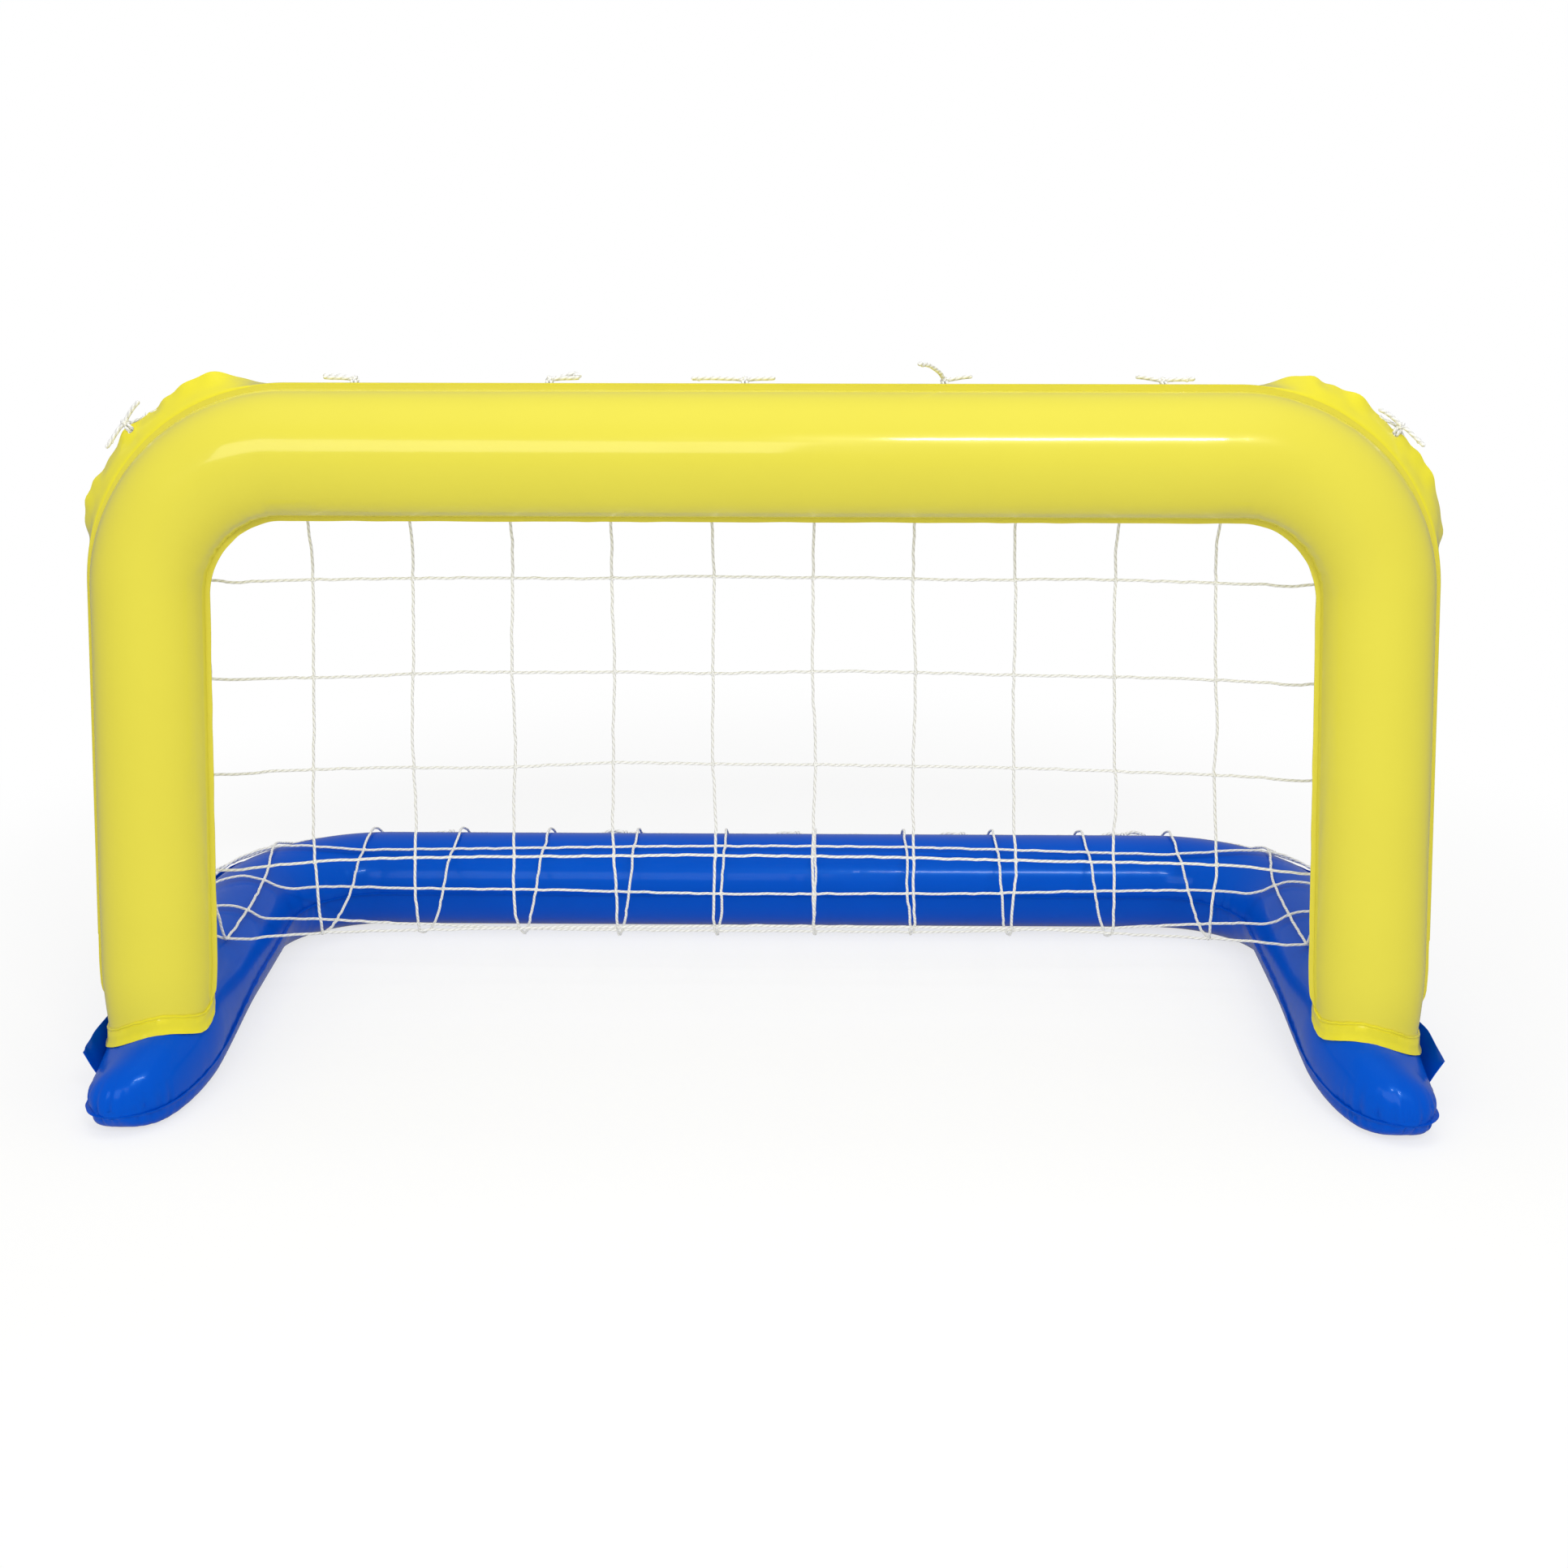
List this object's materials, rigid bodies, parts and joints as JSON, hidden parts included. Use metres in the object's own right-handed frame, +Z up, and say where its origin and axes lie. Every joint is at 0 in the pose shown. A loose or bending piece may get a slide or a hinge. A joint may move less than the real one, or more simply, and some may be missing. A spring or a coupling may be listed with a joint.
{
  "type": "inflatable water polo goal",
  "caption": "Inflatable water polo goal: U-shaped float base, inverted-U frame, welded net strips, slack knotted net with corded ties, and inflation valves.",
  "frame": {"origin": "middle of the footprint on the floor", "axes": "+X across the goal from the left post to the right post seen from the front, +Y from the mouth towards the rear tube, +Z up"},
  "size_m": [1.484, 0.7244, 0.788],
  "materials": {
    "vinyl_yellow": "glossy soft vinyl sheet",
    "strip_yellow": "glossy soft vinyl strip",
    "vinyl_blue": "glossy soft vinyl sheet",
    "cord_white": "braided white cord",
    "valve_clear": "soft translucent vinyl"
  },
  "bodies": {
    "goal": {"frame_front_panel": "vinyl_yellow", "frame_rear_panel": "vinyl_yellow", "frame_net_strip": "strip_yellow", "left_post_collar": "strip_yellow", "right_post_collar": "strip_yellow", "base_top_panel": "vinyl_blue", "base_bottom_panel": "vinyl_blue", "base_net_strip": "vinyl_blue", "frame_valve_flange": "valve_clear", "base_valve_flange": "valve_clear", "net": "cord_white", "tie_crossbar_1": "cord_white", "tie_crossbar_2": "cord_white", "tie_crossbar_3": "cord_white", "tie_crossbar_4": "cord_white", "tie_crossbar_5": "cord_white", "tie_base_corner_left": "cord_white", "tie_base_corner_right": "cord_white", "tie_base_rear_1": "cord_white", "tie_base_rear_2": "cord_white", "tie_base_rear_3": "cord_white", "tie_base_rear_4": "cord_white", "tie_base_rear_5": "cord_white", "tie_corner_left": "cord_white", "tie_post_upper_left": "cord_white", "tie_post_lower_left": "cord_white", "tie_arm_rear_left": "cord_white", "tie_arm_front_left": "cord_white", "tie_corner_right": "cord_white", "tie_post_upper_right": "cord_white", "tie_post_lower_right": "cord_white", "tie_arm_rear_right": "cord_white", "tie_arm_front_right": "cord_white"},
    "frame_stem": {"frame_valve_stem": "valve_clear"},
    "frame_stopper": {"frame_valve_stopper": "valve_clear"},
    "frame_flap": {"frame_valve_flap": "valve_clear"},
    "base_stem": {"base_valve_stem": "valve_clear"},
    "base_stopper": {"base_valve_stopper": "valve_clear"},
    "base_flap": {"base_valve_flap": "valve_clear"}
  },
  "joints": [
    {"name": "frame_stem_push", "type": "slide", "parent": "goal", "child": "frame_stem", "axis": [0, -0.9943, 0.1063], "range_m": [0, 0.01]},
    {"name": "frame_stopper_pull", "type": "slide", "parent": "frame_stem", "child": "frame_stopper", "axis": [0, 0.9943, -0.1063], "range_m": [0, 0.012]},
    {"name": "frame_flap_swing", "type": "hinge", "parent": "frame_stem", "child": "frame_flap", "pos_m": [0.65239, -0.16293, 0.35909], "axis": [-1, 0, 0], "range_deg": [0, 35], "stiffness_Nm_per_rad": 0.0005},
    {"name": "base_stem_push", "type": "slide", "parent": "goal", "child": "base_stem", "axis": [0, -0.829, 0.5592], "range_m": [0, 0.01]},
    {"name": "base_stopper_pull", "type": "slide", "parent": "base_stem", "child": "base_stopper", "axis": [0, 0.829, -0.5592], "range_m": [0, 0.012]},
    {"name": "base_flap_swing", "type": "hinge", "parent": "base_stem", "child": "base_flap", "pos_m": [0.34077, 0.32247, 0.03597], "axis": [-1, 0, 0], "range_deg": [0, 35], "stiffness_Nm_per_rad": 0.0005}
  ]
}
